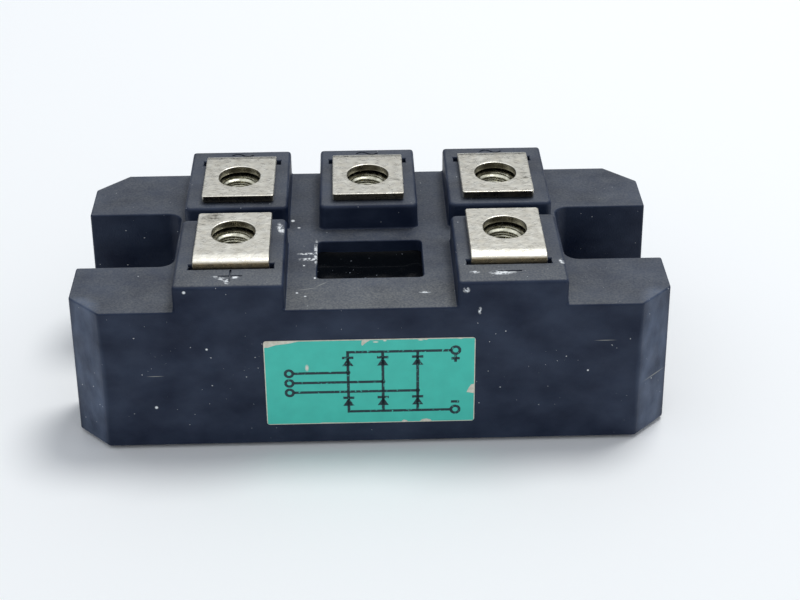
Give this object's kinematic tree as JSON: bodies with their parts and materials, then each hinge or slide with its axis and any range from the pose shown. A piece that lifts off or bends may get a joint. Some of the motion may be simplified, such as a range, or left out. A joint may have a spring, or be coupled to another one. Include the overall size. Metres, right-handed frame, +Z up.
{
  "type": "bridge rectifier",
  "caption": "Bridge rectifier module: moulded case on a metal base plate, with nutted screw terminals on raised blocks, an open mounting recess in each end and a filling window in the roof.",
  "frame": {"origin": "middle of the base plate's underside, on the surface that the module stands on", "axes": "+X along the case towards the minus side, +Y towards the rear with the mains terminals, +Z up through the terminals"},
  "size_m": [0.08, 0.04, 0.0261],
  "materials": {
    "case_plastic": "fine matt moulded surface, near black",
    "terminal_plating": "dull nickel plating on stamped copper strip",
    "nut_steel": "plated steel",
    "base_metal": "dull nickel plating on copper plate",
    "bare_copper": "bare copper foil",
    "ceramic": "fired alumina",
    "silicon": "metallised silicon",
    "gel": "clear soft silicone",
    "resin": "black cast epoxy, glossy as poured",
    "label_film": "printed paper film, worn at its edges"
  },
  "bodies": {
    "root": {"base_plate": "base_metal", "under_foil": "bare_copper", "ceramic": "ceramic", "plus_pad": "bare_copper", "minus_pad": "bare_copper", "diode_1": "silicon", "diode_2": "silicon", "diode_3": "silicon", "diode_4": "silicon", "diode_5": "silicon", "diode_6": "silicon", "mains_terminal_1": "terminal_plating", "mains_terminal_2": "terminal_plating", "mains_terminal_3": "terminal_plating", "plus_terminal": "terminal_plating", "minus_terminal": "terminal_plating", "nut_1": "nut_steel", "nut_2": "nut_steel", "nut_3": "nut_steel", "nut_4": "nut_steel", "nut_5": "nut_steel", "case": "case_plastic", "gel": "gel", "resin": "resin", "label": "label_film"}
  },
  "joints": []
}
